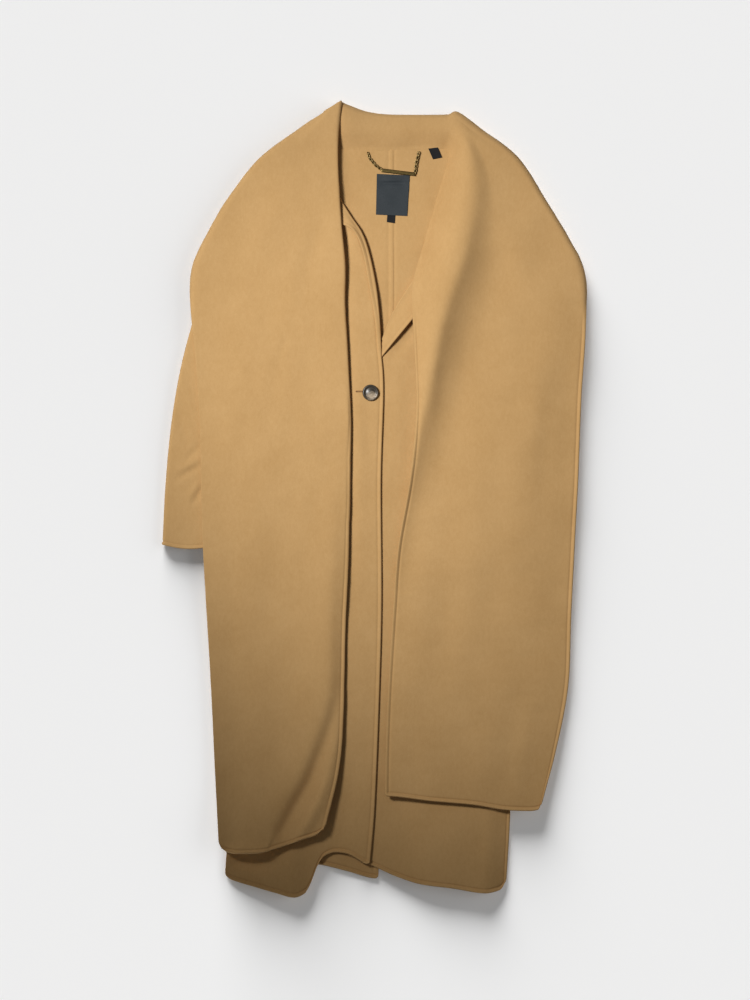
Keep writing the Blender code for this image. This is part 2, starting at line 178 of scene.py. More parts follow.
def across(stations, values, places):
    """Read a curve without overshoot through the values at the stations, level at both ends."""
    stations = np.array(stations, float)
    values = np.atleast_2d(np.array(values, float))
    step = np.diff(stations)
    slope = np.diff(values, axis=1) / step
    before = slope[:, :-1]
    after = slope[:, 1:]
    same = before * after > 0
    middle = np.where(same, 2 * before * after / np.where(same, before + after, 1), 0)
    level = np.zeros((len(values), 1))
    tangent = np.hstack([level, middle, level])
    k = np.clip(np.searchsorted(stations, places, side="right") - 1, 0, len(step) - 1)
    t = (places - stations[k]) / step[k]
    rise = 3 * t**2 - 2 * t**3
    lead = (t - 2 * t**2 + t**3) * step[k]
    trail = (t**3 - t**2) * step[k]
    straight = values[:, k] * (1 - rise) + values[:, k + 1] * rise
    return straight + tangent[:, k] * lead + tangent[:, k + 1] * trail


EDGE_PLACES = np.array([0, 0.12, 0.4, 0.8, 1.3, 2.0, 3.0, 4.0, 5.0, 5.8, 6.6, 7.6, 9.0, 11.5])
EDGE_BAND = 14


def spaced(length, step):
    """Places from 0 to 1 along a length, close together at both ends."""
    count = max(3, round((length - 2 * EDGE_BAND) / step))
    inner = np.linspace(EDGE_BAND, length - EDGE_BAND, count)
    return np.concatenate([EDGE_PLACES, inner, length - EDGE_PLACES[::-1]]) / length


def run_along(points):
    """How far each point of a line is from its first, along the line."""
    return np.concatenate([[0], np.cumsum(np.linalg.norm(np.diff(points, axis=0), axis=1))])


SAMPLES_A_ROW = 60


def lengthwise(rows, step):
    """Read a table of sections smoothly at places spaced by length down the piece."""
    numbers = np.linspace(0, len(rows) - 1, SAMPLES_A_ROW * len(rows))
    dense = smooth_rows(rows, numbers)
    run = run_along((dense[:, 0:2] + dense[:, 2:4]) / 2)
    return smooth_rows(rows, np.interp(spaced(run[-1], step) * run[-1], run, numbers))


def panel_grid(rows, stations, step, heights=None):
    """The grid of a panel from its two long edges, with heights at the stations across it."""
    table = lengthwise(rows, step)
    width = np.linalg.norm(table[:, 0:2] - table[:, 2:4], axis=1).max()
    u = spaced(width, step)
    plan = table[:, None, 0:2] * (1 - u)[None, :, None] + table[:, None, 2:4] * u[None, :, None]
    z = across(stations, table[:, 4:] if heights is None else [heights] * len(table), u)
    return np.dstack([plan, z])


def facing(grid, ring=False):
    """The directions in which a grid's wall has its thickness."""
    if ring:
        run = np.roll(grid, -1, axis=1) - np.roll(grid, 1, axis=1)
    else:
        run = np.gradient(grid, axis=1)
    normal = np.cross(np.gradient(grid, axis=0), run)
    return normal / np.maximum(np.linalg.norm(normal, axis=2), 1e-9)[:, :, None]


def rim_distance(grid, ring, sides):
    """How far each point is from the nearest of a grid's named sides, in millimetres."""
    found = []
    for axis, first, last in ((0, "start", "end"), (1, "left", "right")):
        if axis == 1 and ring:
            continue
        step = np.linalg.norm(np.diff(grid, axis=axis), axis=2)
        run = np.concatenate([np.zeros_like(np.take(step, [0], axis)), np.cumsum(step, axis)], axis)
        if first in sides:
            found.append(run)
        if last in sides:
            found.append(np.take(run, [-1], axis) - run)
    return np.min(found, axis=0) if found else np.full(grid.shape[:2], 1e6)


ALL_SIDES = ("start", "end", "left", "right")
RIM_ROUND = 0.6
RIM_LEAST = 0.06
WELT_HIGH = 1.1
WELT_WIDE = 4.4
STITCH_DEEP = 0.85
STITCH_AT = 6.0
STITCH_WIDE = 1.3
HEM_WELT = 0.7


def welted(away):
    """The height of a felled edge: a flat roll along the rim, then a row of stitches pulled in."""
    roll = WELT_HIGH * np.exp(-((away / WELT_WIDE) ** 4))
    return roll - STITCH_DEEP * np.exp(-(((away - STITCH_AT) / STITCH_WIDE) ** 2))


def shell(name, grid, relief=0.0, welts=(), ring=False, wall=CLOTH, up=1.0, welt_share=1.0):
    """A closed wall on a grid, with round rims, and a stitched welt along the named sides."""
    normal = facing(grid, ring) * up
    grid = grid + normal * np.atleast_3d(relief)
    room = np.clip(rim_distance(grid, ring, ALL_SIDES) / (wall * RIM_ROUND), 0, 1)
    half = wall / 2 * np.maximum(np.sqrt(1 - (1 - room) ** 2), RIM_LEAST)
    lift = welt_share * welted(rim_distance(grid, ring, welts)) * room
    if "end" in welts and not ring:
        lift += HEM_WELT * welted(rim_distance(grid, ring, ("end",))) * room
    top = grid + normal * (half + lift)[:, :, None]
    points = np.concatenate([top, grid - normal * half[:, :, None]]).reshape(-1, 3)
    points[:, 2] = np.maximum(points[:, 2], 0)
    rows, columns = grid.shape[:2]
    side = rows * columns
    number = np.arange(side).reshape(rows, columns)
    if ring:
        number = np.hstack([number, number[:, :1]])
    a, b, c, d = number[:-1, :-1], number[1:, :-1], number[1:, 1:], number[:-1, 1:]
    quads = np.stack([a, b, c, d], -1).reshape(-1, 4)
    faces = [quads, quads[:, ::-1] + side]
    rims = [number[0, ::-1], number[-1]]
    if not ring:
        rims += [number[:, 0], number[::-1, -1]]
    for rim in rims:
        faces.append(np.stack([rim[1:], rim[:-1], rim[:-1] + side, rim[1:] + side], -1))
    faces = np.concatenate(faces)
    if up < 0:
        faces = faces[:, ::-1]
    return made_mesh(name, points, faces.tolist(), wool)


def made_mesh(name, points, faces, material):
    """A smooth-shaded object from points in millimetres."""
    mesh = bpy.data.meshes.new(name)
    mesh.from_pydata(((np.array(points) - CENTRE) * MILLIMETRE).tolist(), [], faces)
    mesh.polygons.foreach_set("use_smooth", [True] * len(mesh.polygons))
    mesh.materials.append(material)
    item = bpy.data.objects.new(name, mesh)
    bpy.context.scene.collection.objects.link(item)
    return item


def fitted(item, node, body="coat"):
    """The piece moves with a body and stands for its CAD node, which is hidden."""
    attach(item, body)
    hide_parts(node)
    return item


Under = namedtuple("Under", "top_x top_y low_x low_y")
SCARF_BACK = [
    Under(-270, 389, -252, 372), Under(-236, 443, -206, 376), Under(-196, 501, -150, 396),
    Under(-150, 545, -100, 408), Under(-95, 582, -55, 414), Under(-46, 606, -10, 416),
    Under(28, 592, 28, 416), Under(100, 592, 72, 414), Under(163, 571, 112, 408),
    Under(222, 526, 160, 396), Under(266, 464, 220, 376), Under(296, 404, 268, 366),
]
grid = panel_grid(SCARF_BACK, (0, 1), step=8, heights=(CLOTH / 2, CLOTH / 2))
scarf_back = fitted(shell("scarf_back_cloth", grid, up=-1), "scarf_back")

# The two back panels: wool, sewn together down the centre back with a flat seam that shows inside the neck,
# and left open below in a vent. They lie on the scarf at the top and on the surface below.
CENTRE_TOP_X = 28.0
CENTRE_HEM_X = 4.0
BACK_LOW = CLOTH / 2
LAYER_GAP = 0.3
BACK_HIGH = CLOTH * 1.5 + LAYER_GAP
Back = namedtuple("Back", "side_x side_y centre_x centre_y")
BACK_LEFT = [
    Back(-207, 477, CENTRE_TOP_X, 562), Back(-211, 380, CENTRE_TOP_X, 430),
    Back(-216, 261, CENTRE_TOP_X, 300), Back(-204, 110, 24, 110), Back(-203, -60, 18, -60),
    Back(-212, -250, 12, -250), Back(-226, -420, 8, -430), Back(-234, -579, CENTRE_HEM_X, -608),
]
BACK_RIGHT = [
    Back(259, 470, CENTRE_TOP_X, 562), Back(251, 370, CENTRE_TOP_X, 430), Back(240, 259, CENTRE_TOP_X, 300),
    Back(227, 110, 24, 110), Back(221, -60, 18, -60), Back(219, -250, 12, -250), Back(218, -420, 8, -430),
    Back(209, -603, 6, -583),
]
Point = namedtuple("Point", "x y")
HEM_BACK_LEFT = [Point(-234, -572), Point(-92, -585), Point(-44, -596), Point(CENTRE_HEM_X, -608)]
HEM_BACK_SHARE = 0.15
SEAM_LAP = 2.6
SEAM_LAP_WIDE = 20.0
SEAM_BAND = 5.4
SEAM_LIFT = 0.35
SEAM_DITCH = 0.5
SEAM_DITCH_WIDE = 2.0
SHOULDER_SHARE = 0.72
SHOULDER_RISE = 90.0
NECK_X = CENTRE_TOP_X + 6
NECK_FLAT = 62.1
NECK_END = 131.1
NECK_REACH = 24.0
NECK_FADE = 60.0
RISE_FROM = 300.0
RISE_OVER = 60.0
Crease = namedtuple("Crease", "x0 y0 x1 y1 width height")
BACK_CREASES = [
    Crease(-58, 560, 112, 563, 3, 0.7), Crease(-60, 575, -57, 474, 11, 4.5),
    Crease(-46, 546, -12, 530, 4, -0.5), Crease(-40, 470, -10, 420, 7, -0.6),
    Crease(70, 500, 108, 440, 9, 0.8), Crease(-90, -560, -40, -600, 9, 0.8),
]
CREASE_END = 0.12
BACK_DEEPEST = -1.0
Wave = namedtuple("Wave", "height size seed")
BACK_WAVE = Wave(0.25, 60, 3)
SWELLS = 9
SWELL_SPREAD = (0.6, 1.7)


def creased(grid, creases):
    """Soft troughs and ridges along straight lines, fading at their ends."""
    total = np.zeros(grid.shape[:2])
    for c in creases:
        run = np.array([c.x1 - c.x0, c.y1 - c.y0])
        length = np.linalg.norm(run)
        rel = grid[:, :, 0:2] - np.array([c.x0, c.y0])
        forward = rel @ (run / length)
        aside = rel @ (np.array([-run[1], run[0]]) / length)
        share = np.clip(forward / length, 0, 1)
        swell = np.sin(np.pi * (CREASE_END + (1 - 2 * CREASE_END) * share))
        past = np.maximum(np.maximum(-forward, forward - length), 0)
        total += c.height * swell * np.exp(-((aside / c.width) ** 2)) * np.exp(-((past / c.width) ** 2))
    return total


def waves(grid, *kinds):
    """Slow uneven swells over a grid, each kind with its height, and its size from crest to crest."""
    total = np.zeros(grid.shape[:2])
    for kind in kinds:
        draw = np.random.default_rng(kind.seed)
        for _ in range(SWELLS):
            turn, phase = draw.uniform(0, 2 * np.pi, 2)
            pace = 2 * np.pi / (kind.size * draw.uniform(*SWELL_SPREAD))
            place = grid[:, :, 0] * np.cos(turn) + grid[:, :, 1] * np.sin(turn)
            total += kind.height / np.sqrt(SWELLS) * np.sin(pace * place + phase)
    return total


def to_hem(grid, hem, share):
    """Pull the last rows of a piece's grid to its hem line, fading out up the piece."""
    hem = sorted(hem)
    x = np.array([p.x for p in hem])
    y = np.array([p.y for p in hem])
    drop = across(x, y, np.clip(grid[-1, :, 0], x[0], x[-1]))[0] - grid[-1, :, 1]
    run = run_along(grid[:, grid.shape[1] // 2])
    weight = np.clip((run / run[-1] - 1 + share) / share, 0, 1) ** 2
    grid[:, :, 1] += weight[:, None] * drop
    return grid


def round_corners(grid, left=0, right=0):
    """Take the corners at the hem of a grid in to rounds of the given radii."""
    for radius, part in ((left, grid[::-1]), (right, grid[::-1, ::-1])):
        if radius == 0:
            continue
        down = np.linalg.norm(part[:, 0] - part[0, 0], axis=1)
        along = np.linalg.norm(part[0] - part[0, 0], axis=1)
        inward_down = part[np.argmax(down > radius), 0] - part[0, 0]
        inward_along = part[0, np.argmax(along > radius)] - part[0, 0]
        inward_down /= np.linalg.norm(inward_down)
        inward_along /= np.linalg.norm(inward_along)
        p = np.clip(1 - down / radius, 0, 1)[:, None]
        q = np.clip(1 - along / radius, 0, 1)[None, :]
        shift_down = radius * p * (1 - np.sqrt(1 - q**2 / 2))
        shift_along = radius * q * (1 - np.sqrt(1 - p**2 / 2))
        part += shift_down[:, :, None] * inward_down + shift_along[:, :, None] * inward_along
    return grid


for side, rows, up, ditch, flat, area in (
    ("left", BACK_LEFT, 1, SEAM_BAND + 1.6, (0.265, 1.18), 0.261),
    ("right", BACK_RIGHT, -1, SEAM_BAND - 1.2, (0.255, 1.18), 0.236),
):
    grid = panel_grid(rows, (0, 1), step=5, heights=(0.0, 0.0))
    shoulder = np.linspace(1, 0, len(grid)).clip(SHOULDER_SHARE, 1) - SHOULDER_SHARE
    share = np.linalg.norm(grid - grid[:, :1], axis=2) / np.linalg.norm(grid[:, -1:] - grid[:, :1], axis=2)
    grid[:, :, 1] += SHOULDER_RISE * shoulder[:, None] * np.sin(np.pi * share.clip(0, 1)) ** 1.5
    at_neck = np.interp(np.abs(grid[:, :, 0] - NECK_X), (NECK_FLAT, NECK_END), (1, 0))
    below = grid[:1, :, 1] - grid[:, :, 1]
    grid[:, :, 1] += NECK_REACH * at_neck * np.clip(1 - below / NECK_FADE, 0, 1)
    rise = np.clip((grid[:, :, 1] - RISE_FROM) / RISE_OVER, 0, 1)
    grid[:, :, 2] = BACK_LOW + (BACK_HIGH - BACK_LOW) * (3 * rise**2 - 2 * rise**3)
    relief = np.maximum(creased(grid, BACK_CREASES) + waves(grid, BACK_WAVE), BACK_DEEPEST)
    seam = np.abs(grid[:, :, 0] - grid[:, -1:, 0])
    relief -= SEAM_DITCH * np.exp(-(((seam - ditch) / SEAM_DITCH_WIDE) ** 2))
    if side == "left":
        grid[:, :, 0] += SEAM_LAP * np.clip(1 - seam / SEAM_LAP_WIDE, 0, 1)
        relief += SEAM_LIFT * np.exp(-((seam / SEAM_BAND) ** 6))
        grid = to_hem(grid, HEM_BACK_LEFT, HEM_BACK_SHARE)
    grid = round_corners(grid, right=6)
    made = shell("back_%s_cloth" % side, grid, relief, welts=("end",), up=up)
    fitted(made, "back_" + side)

# The two fronts: wool, sewn to the back at the sides and shoulders. The left one laps over the right one
# and is buttoned to it; both hems are lifted off the surface, the left one in a deep fold.
Front = namedtuple("Front", "side_x side_y edge_x edge_y side near mid inner edge")
FRONT_STATIONS = (0.0, 0.15, 0.42, 0.73, 1.0)
FRONT_LEFT = [
    Front(-207, 477, -61, 547, 6.3, 6.3, 6.3, 6.3, 6.3),
    Front(-209, 424, -58, 493, 11.6, 11.4, 10, 9.5, 9.5),
    Front(-212, 350, -21, 426, 11.6, 11.4, 10, 10, 10.5),
    Front(-216, 261, 1, 341, 3.9, 9, 10, 10.5, 11),
    Front(-209, 195, 11, 240, 3.8, 8.5, 10, 10.5, 11),
    Front(-205, 125, 15, 173, 3.8, 8.5, 10, 10.5, 10.8),
    Front(-202, 20, 11, 32, 3.8, 8.5, 10, 10.5, 10.5),
    Front(-206, -140, 12, -160, 3.8, 8.5, 10, 10.5, 10.5),
    Front(-217, -300, 8, -320, 3.8, 8.5, 10, 10, 10.5),
    Front(-231, -470, 1, -490, 3.8, 11, 12.5, 9.8, 11.5),
    Front(-240, -596, -7, -584, 3.8, 9, 15, 9.5, 14),
]
FRONT_RIGHT = [
    Front(259, 470, 140, 547, 6.3, 6.3, 6.3, 6.3, 6.3),
    Front(255, 420, 115, 456, 11.6, 11, 8.5, 8, 8),
    Front(249, 350, 80, 381, 11.6, 10.5, 8, 7.5, 7.5),
    Front(240, 259, 40, 315, 3.9, 5.5, 7.5, 7.5, 7.5),
    Front(233, 190, 9, 248, 3.8, 5.5, 7.5, 7, 7.2),
    Front(228, 120, -36, 168, 3.8, 5.5, 7.5, 6.5, 6),
    Front(223, 30, -50, 48, 3.8, 5.5, 7.5, 6, 5.5),
    Front(220, -130, -52, -160, 3.8, 6, 7.5, 6, 5.5),
    Front(219, -310, -50, -320, 3.8, 7, 7.5, 6, 5.5),
    Front(219, -480, -47, -480, 3.8, 9.5, 10.5, 7, 5.5),
    Front(212, -614, -44, -571, 4, 17, 17, 9, 5.5),
]
HEM_FRONT_LEFT = [
    Point(-240, -605), Point(-228, -610), Point(-189, -621), Point(-157, -630), Point(-128, -637),
    Point(-112, -631), Point(-101, -612), Point(-92, -588), Point(-80, -571), Point(-62, -565),
    Point(-44, -567), Point(-7, -584),
]
HEM_FRONT_RIGHT = [
    Point(-44, -571), Point(-5, -586), Point(36, -604), Point(76, -616), Point(124, -622), Point(180, -630),
    Point(201, -626), Point(212, -614),
]
FRONT_LEFT_CREASES = [
    Crease(-54, 446, -36, 376, 9, -2.4), Crease(-54, 436, -47, 402, 7, -3.0),
    Crease(-46, 420, -36, -180, 9, -2.2), Crease(-236, -574, -168, -582, 13, -6),
    Crease(-136, -520, -128, -630, 14, 2.5), Crease(-12, 160, -8, 60, 9, -0.8),
    Crease(-24, 150, -22, -80, 12, 0.7), Crease(-2, -240, -10, -420, 9, -0.7),
    Crease(-30, -420, -60, -560, 13, -1.0),
]
FRONT_RIGHT_CREASES = [
    Crease(30, 232, 74, 286, 10, -2.6), Crease(40, 220, 34, 60, 10, 0.6), Crease(60, 180, 52, 40, 8, -0.6),
    Crease(40, -470, 70, -600, 16, -1.0), Crease(120, -500, 130, -610, 18, 1.0),
    Crease(170, -510, 176, -600, 14, -0.8),
]
FRONT_WAVES = (Wave(0.35, 70, 11), Wave(0.1, 24, 12))
FRONT_RIM = 20.0
RIGHT_WELTS = ("end", "left", "right")
LEFT_WELTS = ("end", "right")
HEM_FRONT_SHARE = 0.22
for side, rows, hem, creases, up, welts, flat, area in (
    ("right", FRONT_RIGHT, HEM_FRONT_RIGHT, FRONT_RIGHT_CREASES, -1, RIGHT_WELTS, (0.315, 1.2), 0.277),
    ("left", FRONT_LEFT, HEM_FRONT_LEFT, FRONT_LEFT_CREASES, 1, LEFT_WELTS, (0.26, 1.21), 0.244),
):
    grid = to_hem(panel_grid(rows, FRONT_STATIONS, step=4.4), hem, HEM_FRONT_SHARE)
    grid = round_corners(grid, left=8, right=6)
    relief = creased(grid, creases) + waves(grid, *FRONT_WAVES)
    relief *= np.clip(rim_distance(grid, False, ("left", "start")) / FRONT_RIM, 0, 1)
    made = shell("front_%s_cloth" % side, grid, relief, welts=welts, up=up)
    fitted(made, "front_" + side)

# The lapels: the neck edge of each front, of the same wool, turned back on itself along a soft roll. They
# lie on the fronts, and their free edges are felled.
Lapel = namedtuple("Lapel", "roll_x roll_y edge_x edge_y roll mid edge")
LAPEL_LEFT = [
    Lapel(-66, 498, -66, 446, 12, 12.1, 12.2), Lapel(-40, 456, -40, 436, 13.4, 15.6, 17),
    Lapel(-21, 426, -27, 420, 13.6, 15.4, 17.2), Lapel(-9, 390, -17, 390, 13.7, 14.8, 15.8),
    Lapel(1, 341, -8, 341, 13.7, 14.1, 14.6), Lapel(6, 295, 0, 295, 13.2, 13.2, 13.2),
    Lapel(9, 250, 5, 250, 12, 12, 12), Lapel(11, 200, 9.5, 200, 9.6, 9.6, 9.6),
]
LAPEL_RIGHT = [
    Lapel(13, 256, 12, 229, 10.0, 10.6, 10.4), Lapel(25, 288, 33, 255, 10.4, 13, 14.5),
    Lapel(41, 317, 57, 284, 10.4, 14.5, 17.5), Lapel(66, 355, 84, 317, 10.4, 14, 17),
]
ROLL_RADIUS = 1.5
ROLL_ANGLES = np.radians(np.linspace(175, 15, 9))
for side, rows, flat, area in (
    ("right", LAPEL_RIGHT, (0.04, 0.145), 0.0039),
    ("left", LAPEL_LEFT, (0.024, 0.26), 0.0045),
):
    grid = panel_grid(rows, (0, 0.5, 1), step=3.0)
    away = grid[:, 0] - grid[:, 1]
    away[:, 2] = 0
    away /= np.linalg.norm(away, axis=1)[:, None]
    turned = []
    for angle in ROLL_ANGLES:
        under = grid[:, 0] + away * ROLL_RADIUS * np.sin(angle)
        under[:, 2] -= ROLL_RADIUS * (1 - np.cos(angle))
        turned.append(under)
    grid = np.concatenate([np.stack(turned, 1), grid], axis=1)
    made = shell("lapel_%s_cloth" % side, grid, welts=("right",), up=-1, welt_share=0.4)
    fitted(made, "lapel_" + side)

# The sleeves: wool tubes set into the armholes and lying flat. Only the lower part of the left one shows,
# beside the scarf; the right one lies on the front, under the scarf.
Ring = namedtuple("Ring", "out_x out_y in_x in_y out_z in_z half")
SLEEVE_LEFT = [
    Ring(-210, 474, -219, 262, 8.2, 8.2, 4.5), Ring(-244, 416, -221, 226, 8.4, 8, 4.5),
    Ring(-272, 344, -221, 190, 8.4, 7.5, 4.5), Ring(-292, 280, -218, 150, 7, 7, 4.5),
    Ring(-311, 205, -215, 105, 6.5, 6.5, 4.5), Ring(-325, 120, -213, 45, 6.2, 6.2, 4.5),
    Ring(-334, 25, -214, -20, 6, 6, 4.5), Ring(-339, -72, -215, -82, 6, 6, 4.5),
]
SLEEVE_RIGHT = [
    Ring(262, 467, 244, 258, 8.2, 8.2, 4.5), Ring(284, 404, 245, 218, 8.2, 11, 4),
    Ring(300, 330, 233, 180, 8, 13.4, 3.6), Ring(307, 250, 216, 138, 7.5, 13.4, 3.5),
    Ring(310, 160, 203, 80, 7, 13.4, 3.5), Ring(309, 70, 192, 15, 6.5, 13.4, 3.5),
    Ring(300, -92, 182, -98, 6.5, 13.4, 3.5),
]
SLEEVE_CREASES = [
    Crease(-318, 34, -276, 56, 4.5, -2.4), Crease(-312, 48, -279, 68, 5, 1.8),
    Crease(-304, 60, -278, 88, 4.5, -1.9), Crease(-291, -6, -275, 20, 4, -2.6),
    Crease(-298, 2, -280, 30, 5, 1.5), Crease(-318, 150, -296, 80, 7, -1.0),
    Crease(-308, 190, -290, 140, 6, 0.6), Crease(-330, -20, -300, -44, 6, 0.5),
]
SLEEVE_WAVE = Wave(0.3, 55, 21)
TUBE_SIDE = 34
TUBE_ANGLES = np.radians(np.linspace(90, -90, 11)[1:-1])
CUFF_SAG = 3.6
CUFF_REACH = 60.0
CUFF_X = -339.0
CUFF_WIDE = 66.0
for side, rows, up in (("left", SLEEVE_LEFT, 1), ("right", SLEEVE_RIGHT, -1)):
    sections = []
    for row in lengthwise(rows, step=3.6):
        r = Ring(*row)
        outer = np.array([r.out_x, r.out_y])
        inner = np.array([r.in_x, r.in_y])
        line = (inner - outer) / np.linalg.norm(inner - outer)
        start = outer + line * r.half
        end = inner - line * r.half
        points = []
        for u in np.linspace(0, 1, TUBE_SIDE):
            points.append(np.append(start + (end - start) * u, r.out_z + (r.in_z - r.out_z) * u + r.half))
        for angle in TUBE_ANGLES:
            points.append(np.append(end + line * r.half * np.cos(angle), r.in_z + r.half * np.sin(angle)))
        for u in np.linspace(1, 0, TUBE_SIDE):
            points.append(np.append(start + (end - start) * u, r.out_z + (r.in_z - r.out_z) * u - r.half))
        for angle in -TUBE_ANGLES:
            points.append(np.append(start - line * r.half * np.cos(angle), r.out_z + r.half * np.sin(angle)))
        sections.append(points)
    grid = np.array(sections)
    near_cuff = np.clip(1 - np.linalg.norm(grid - grid[-1:], axis=2) / CUFF_REACH, 0, 1)
    over_cuff = np.clip((grid[:, :, 0] - CUFF_X) / CUFF_WIDE, 0, 1)
    grid[:, :, 1] -= CUFF_SAG * near_cuff * np.sin(np.pi * over_cuff)
    upper = np.clip(facing(grid, True)[:, :, 2] * up, 0, 1)
    relief = (creased(grid, SLEEVE_CREASES) + waves(grid, SLEEVE_WAVE)) * upper
    made = shell("sleeve_%s_cloth" % side, grid, relief, welts=("end",), ring=True, up=up)
    fitted(made, "sleeve_" + side)

# The left fall of the scarf: the same length of wool, coming over the shoulder in a round fold and lying down
# the front. Its inner edge is rolled over at the neck and opens out into a flat stitched edge below, and its
# lower corner lifts and curls.
Fall = namedtuple("Fall", "out_x out_y in_x in_y out third two_thirds crest out_curl out_r in_curl in_r")
SCARF_LEFT = [
    Fall(-79, 619.5, -55, 634, 7, 7, 7, 7, 20, 2, 10, 2),
    Fall(-80, 621, -54, 637, 16, 17, 17, 17, 120, 6, 30, 3),
    Fall(-81, 620.5, -53, 637, 24, 25.5, 25.5, 25.5, 150, 9, 80, 4),
    Fall(-83, 617.5, -53, 634, 27.5, 29, 29, 29, 170, 10.6, 120, 5),
    Fall(-116, 598, -56, 602, 26, 28, 28.5, 29, 172, 11.2, 150, 5),
    Fall(-186, 544, -58, 560, 24, 23.5, 22.5, 23, 178, 11.4, 150, 3.2),
    Fall(-228, 493, -57, 512, 23, 22.5, 22, 22.4, 178, 10.9, 150, 3),
    Fall(-264, 432, -53, 448, 22, 22, 22, 24.5, 176, 10.4, 150, 3),
    Fall(-291, 374, -47, 376, 20.5, 21, 21.5, 25, 160, 9.6, 150, 3),
    Fall(-294, 312, -47, 312, 18.5, 20.5, 20, 22.5, 60, 9, 150, 3),
    Fall(-286, 224, -42, 224, 17.2, 20, 18.5, 20.5, 12, 9, 150, 3),
    Fall(-279, 104, -39, 104, 17.2, 20, 18, 20, 10, 9, 140, 3),
    Fall(-276, -46, -42, -46, 17, 19.5, 17.5, 19, 10, 9, 80, 4),
    Fall(-268, -192, -46, -192, 13, 16, 16.5, 18, 10, 9, 30, 6),
    Fall(-260, -336, -50, -336, 10, 15, 16.5, 17.5, 10, 9, 20, 6),
    Fall(-255, -440, -56, -425, 12, 19, 20.5, 23, 10, 9, 20, 6),
    Fall(-248, -549, -79, -522, 26, 35, 29, 34, 10, 9, 20, 6),
]
FALL_STATIONS = (0, 0.36, 0.74, 1)
HEM_SCARF_LEFT = [
    Point(-248, -561), Point(-236, -563), Point(-220, -565), Point(-186, -564), Point(-158, -557),
    Point(-124, -546), Point(-95, -536), Point(-79, -528),
]
HEM_SCARF_LEFT_SHARE = 0.2
SCARF_LEFT_CREASES = [
    Crease(-120, 520, -200, 380, 22, 1.2), Crease(-70, 480, -120, 330, 16, -1.0),
    Crease(-150, 250, -170, 130, 14, -0.9), Crease(-140, 262, -152, 228, 5, -0.7),
    Crease(-190, -60, -180, -420, 26, 1.0), Crease(-230, -80, -226, -380, 14, -0.8),
]
Spot = namedtuple("Spot", "x y width height")
SCARF_LEFT_FOLDS = [
    [
        Spot(-58, -300, 8, 0), Spot(-70, -350, 9, -2), Spot(-81, -384, 10, -4.5), Spot(-103, -448, 11, -7),
        Spot(-122, -482, 11, -7.5), Spot(-148, -530, 11, -6.5),
    ],
    [
        Spot(-46, -300, 9, 0), Spot(-60, -384, 10, 4), Spot(-75, -448, 11, 7), Spot(-88, -482, 12, 8),
        Spot(-104, -514, 12, 8), Spot(-126, -548, 12, 6),
    ],
    [
        Spot(-241, -560, 10, 0), Spot(-226, -561, 12, 4), Spot(-210, -562, 14, 6), Spot(-176, -562, 13, 4),
        Spot(-158, -556, 12, 0),
    ],
]
Drop = namedtuple("Drop", "x y drop width left right")
SCARF_LEFT_TURN = [
    Drop(-54, 60, 0, 12, 70, 60), Drop(-58, -64, 6, 12, 70, 60), Drop(-62, -160, 10, 12, 70, 60),
    Drop(-62, -224, 12, 9, 70, 60), Drop(-61, -270, 14, 9, 70, 60), Drop(-64, -320, 15, 10, 70, 60),
    Drop(-78, -384, 13, 11, 70, 60), Drop(-107, -448, 10, 12, 60, 60), Drop(-130, -480, 7, 12, 60, 60),
    Drop(-156, -530, 3, 12, 60, 60),
]
TURN_LIFT = 0.35
CREST_SOFT = 4.0
CREST_AHEAD = 5.0
CREST_TAIL = 1.6


def beside(grid, a, b):
    """Where points lie by the line from a to b: the share along it, how far off, and on which side."""
    run = np.array([b.x - a.x, b.y - a.y])
    rel = grid[:, :, 0:2] - np.array([a.x, a.y])
    share = np.clip(rel @ run / (run @ run), 0, 1)
    away = np.linalg.norm(rel - share[:, :, None] * run, axis=2)
    return share, away, np.sign(rel[:, :, 1] * run[0] - rel[:, :, 0] * run[1])


def folded(grid, folds):
    """Soft ridges and troughs along bent lines, with a width and height at every point of a line."""
    total = np.zeros(grid.shape[:2])
    for fold in folds:
        nearest = np.full(grid.shape[:2], 1e9)
        value = np.zeros(grid.shape[:2])
        for a, b in zip(fold, fold[1:]):
            share, away, _ = beside(grid, a, b)
            width = a.width + (b.width - a.width) * share
            height = a.height + (b.height - a.height) * share
            value = np.where(away < nearest, height * np.exp(-((away / width) ** 2)), value)
            nearest = np.minimum(away, nearest)
        total += value
    return total


def stepped(grid, path, lift):
    """A rolled ridge: the cloth stands up on the left of a bent line and falls away on its right."""
    nearest = np.full(grid.shape[:2], 1e9)
    total = np.zeros(grid.shape[:2])
    for a, b in zip(path, path[1:]):
        share, away, hand = beside(grid, a, b)
        aside = away * hand
        drop, width, left, right = (a[k] + (b[k] - a[k]) * share for k in range(2, 6))
        fade = np.exp(-((aside / np.where(aside < 0, left, right)) ** 2))
        past = CREST_SOFT * np.logaddexp(0, (aside + CREST_AHEAD) / CREST_SOFT)
        shape = lift - 0.5 + np.exp(-past / (CREST_TAIL * width))
        total = np.where(away < nearest, drop * shape * fade, total)
        nearest = np.minimum(away, nearest)
    return total


CURL_STEPS = 14


def reach(curl, radius):
    """How far a curled edge stands out past the place where its arc starts."""
    return radius * np.sin(np.radians(np.minimum(curl, 90)))


def arc(start, away, z, curl, radius):
    """The points of an edge that leaves a section level and turns under, after its first."""
    points = []
    for angle in np.radians(np.linspace(0, curl, CURL_STEPS + 1)[1:]):
        points.append(np.append(start + away * radius * np.sin(angle), z - radius * (1 - np.cos(angle))))
    return points


